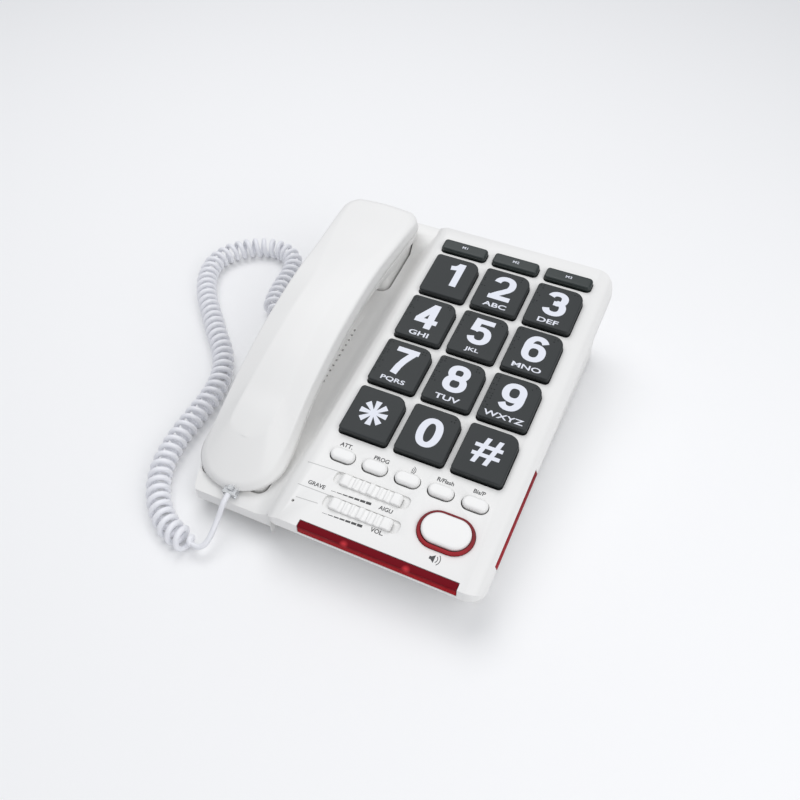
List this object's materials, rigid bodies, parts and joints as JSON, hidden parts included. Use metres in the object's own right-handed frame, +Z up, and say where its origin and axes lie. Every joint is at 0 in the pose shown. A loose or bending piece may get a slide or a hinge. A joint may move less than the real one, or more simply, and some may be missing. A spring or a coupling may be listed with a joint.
{
  "type": "corded desk telephone",
  "caption": "Corded desk telephone with large dark keys on a sloping white base, a handset in a side cradle and a curly cord.",
  "frame": {"origin": "on the desk, under the middle of the phone without its cord", "axes": "+Y from the front edge to the back, +X to the right as the user sees it, +Z up"},
  "size_m": [0.2817, 0.2523, 0.0762],
  "materials": {
    "casing": "warm off-white moulded ABS, satin",
    "key": "charcoal key caps, satin, with pale printed digits",
    "memory_key": "near-black key caps, satin",
    "button": "white key caps, satin",
    "red_lens": "dark red translucent polycarbonate",
    "black_plastic": "black moulded plastic",
    "rubber": "grey rubber",
    "board": "green laminate",
    "steel": "bare steel",
    "clear_plug": "clear plastic",
    "cord": "white PVC"
  },
  "bodies": {
    "base": {"base_upper_casing": "casing", "base_lower_casing": "casing", "speaker_light_ring": "red_lens", "tone_potentiometer": "black_plastic", "volume_potentiometer": "black_plastic", "front_lens": "red_lens", "side_lens": "red_lens", "keypad_rubber_mat": "rubber", "main_circuit_board": "board", "indicator_lamp_left": "red_lens", "indicator_lamp_right": "red_lens", "hook_switch": "black_plastic", "loudspeaker": "steel", "line_jack": "black_plastic", "handset_cord_jack": "black_plastic", "foot_front_left": "rubber", "foot_front_right": "rubber", "foot_back_left": "rubber", "foot_back_right": "rubber", "casing_screw_front_left": "steel", "casing_screw_front_right": "steel", "casing_screw_back_left": "steel", "casing_screw_back_right": "steel", "ballast_plate": "steel", "cord_plug_base": "clear_plug", "cord_tail_base": "cord", "cord_coil": "cord"},
    "handset": {"handset_upper_shell": "casing", "handset_lower_shell": "casing", "receiver_capsule": "black_plastic", "microphone_capsule": "black_plastic", "handset_weight": "steel", "handset_jack": "black_plastic", "cord_plug_handset": "clear_plug", "cord_tail_handset": "cord"},
    "hook_plunger": {"hook_plunger": "button"},
    "key_star": {"key_star": "key"},
    "key_0": {"key_0": "key"},
    "key_hash": {"key_hash": "key"},
    "key_7": {"key_7": "key"},
    "key_8": {"key_8": "key"},
    "key_9": {"key_9": "key"},
    "key_4": {"key_4": "key"},
    "key_5": {"key_5": "key"},
    "key_6": {"key_6": "key"},
    "key_1": {"key_1": "key"},
    "key_2": {"key_2": "key"},
    "key_3": {"key_3": "key"},
    "memory_key_1": {"memory_key_1": "memory_key"},
    "memory_key_2": {"memory_key_2": "memory_key"},
    "memory_key_3": {"memory_key_3": "memory_key"},
    "mute_button": {"mute_button": "button"},
    "program_button": {"program_button": "button"},
    "ringer_button": {"ringer_button": "button"},
    "recall_button": {"recall_button": "button"},
    "redial_button": {"redial_button": "button"},
    "speaker_button": {"speaker_button": "button"},
    "tone_slider": {"tone_slider": "button"},
    "volume_slider": {"volume_slider": "button"}
  },
  "joints": [
    {"name": "handset_lift", "type": "slide", "parent": "base", "child": "handset", "axis": [0, -0.1564, 0.9877], "range_m": [0, 0.08]},
    {"name": "hook_plunger_rise", "type": "slide", "parent": "base", "child": "hook_plunger", "axis": [0, -0.1564, 0.9877], "range_m": [0, 0.004]},
    {"name": "key_star_press", "type": "slide", "parent": "base", "child": "key_star", "axis": [0, 0.1564, -0.9877], "range_m": [0, 0.002], "stiffness_N_per_m": 300, "springref_m": -0.0006},
    {"name": "key_0_press", "type": "slide", "parent": "base", "child": "key_0", "axis": [0, 0.1564, -0.9877], "range_m": [0, 0.002], "stiffness_N_per_m": 300, "springref_m": -0.0006},
    {"name": "key_hash_press", "type": "slide", "parent": "base", "child": "key_hash", "axis": [0, 0.1564, -0.9877], "range_m": [0, 0.002], "stiffness_N_per_m": 300, "springref_m": -0.0006},
    {"name": "key_7_press", "type": "slide", "parent": "base", "child": "key_7", "axis": [0, 0.1564, -0.9877], "range_m": [0, 0.002], "stiffness_N_per_m": 300, "springref_m": -0.0006},
    {"name": "key_8_press", "type": "slide", "parent": "base", "child": "key_8", "axis": [0, 0.1564, -0.9877], "range_m": [0, 0.002], "stiffness_N_per_m": 300, "springref_m": -0.0006},
    {"name": "key_9_press", "type": "slide", "parent": "base", "child": "key_9", "axis": [0, 0.1564, -0.9877], "range_m": [0, 0.002], "stiffness_N_per_m": 300, "springref_m": -0.0006},
    {"name": "key_4_press", "type": "slide", "parent": "base", "child": "key_4", "axis": [0, 0.1564, -0.9877], "range_m": [0, 0.002], "stiffness_N_per_m": 300, "springref_m": -0.0006},
    {"name": "key_5_press", "type": "slide", "parent": "base", "child": "key_5", "axis": [0, 0.1564, -0.9877], "range_m": [0, 0.002], "stiffness_N_per_m": 300, "springref_m": -0.0006},
    {"name": "key_6_press", "type": "slide", "parent": "base", "child": "key_6", "axis": [0, 0.1564, -0.9877], "range_m": [0, 0.002], "stiffness_N_per_m": 300, "springref_m": -0.0006},
    {"name": "key_1_press", "type": "slide", "parent": "base", "child": "key_1", "axis": [0, 0.1564, -0.9877], "range_m": [0, 0.002], "stiffness_N_per_m": 300, "springref_m": -0.0006},
    {"name": "key_2_press", "type": "slide", "parent": "base", "child": "key_2", "axis": [0, 0.1564, -0.9877], "range_m": [0, 0.002], "stiffness_N_per_m": 300, "springref_m": -0.0006},
    {"name": "key_3_press", "type": "slide", "parent": "base", "child": "key_3", "axis": [0, 0.1564, -0.9877], "range_m": [0, 0.002], "stiffness_N_per_m": 300, "springref_m": -0.0006},
    {"name": "memory_key_1_press", "type": "slide", "parent": "base", "child": "memory_key_1", "axis": [0, 0.1564, -0.9877], "range_m": [0, 0.002], "stiffness_N_per_m": 300, "springref_m": -0.0006},
    {"name": "memory_key_2_press", "type": "slide", "parent": "base", "child": "memory_key_2", "axis": [0, 0.1564, -0.9877], "range_m": [0, 0.002], "stiffness_N_per_m": 300, "springref_m": -0.0006},
    {"name": "memory_key_3_press", "type": "slide", "parent": "base", "child": "memory_key_3", "axis": [0, 0.1564, -0.9877], "range_m": [0, 0.002], "stiffness_N_per_m": 300, "springref_m": -0.0006},
    {"name": "mute_button_press", "type": "slide", "parent": "base", "child": "mute_button", "axis": [0, 0.1564, -0.9877], "range_m": [0, 0.0015], "stiffness_N_per_m": 300, "springref_m": -0.0006},
    {"name": "program_button_press", "type": "slide", "parent": "base", "child": "program_button", "axis": [0, 0.1564, -0.9877], "range_m": [0, 0.0015], "stiffness_N_per_m": 300, "springref_m": -0.0006},
    {"name": "ringer_button_press", "type": "slide", "parent": "base", "child": "ringer_button", "axis": [0, 0.1564, -0.9877], "range_m": [0, 0.0015], "stiffness_N_per_m": 300, "springref_m": -0.0006},
    {"name": "recall_button_press", "type": "slide", "parent": "base", "child": "recall_button", "axis": [0, 0.1564, -0.9877], "range_m": [0, 0.0015], "stiffness_N_per_m": 300, "springref_m": -0.0006},
    {"name": "redial_button_press", "type": "slide", "parent": "base", "child": "redial_button", "axis": [0, 0.1564, -0.9877], "range_m": [0, 0.0015], "stiffness_N_per_m": 300, "springref_m": -0.0006},
    {"name": "speaker_button_press", "type": "slide", "parent": "base", "child": "speaker_button", "axis": [0, 0.1564, -0.9877], "range_m": [0, 0.0015], "stiffness_N_per_m": 300, "springref_m": -0.0006},
    {"name": "tone_slider_slide", "type": "slide", "parent": "base", "child": "tone_slider", "axis": [1, 0, 0], "range_m": [-0.0035, 0.0035]},
    {"name": "volume_slider_slide", "type": "slide", "parent": "base", "child": "volume_slider", "axis": [1, 0, 0], "range_m": [-0.0035, 0.0035]}
  ],
  "couplings": [
    {"joint": "hook_plunger_rise", "follows": "handset_lift", "ratio": 0.05}
  ]
}
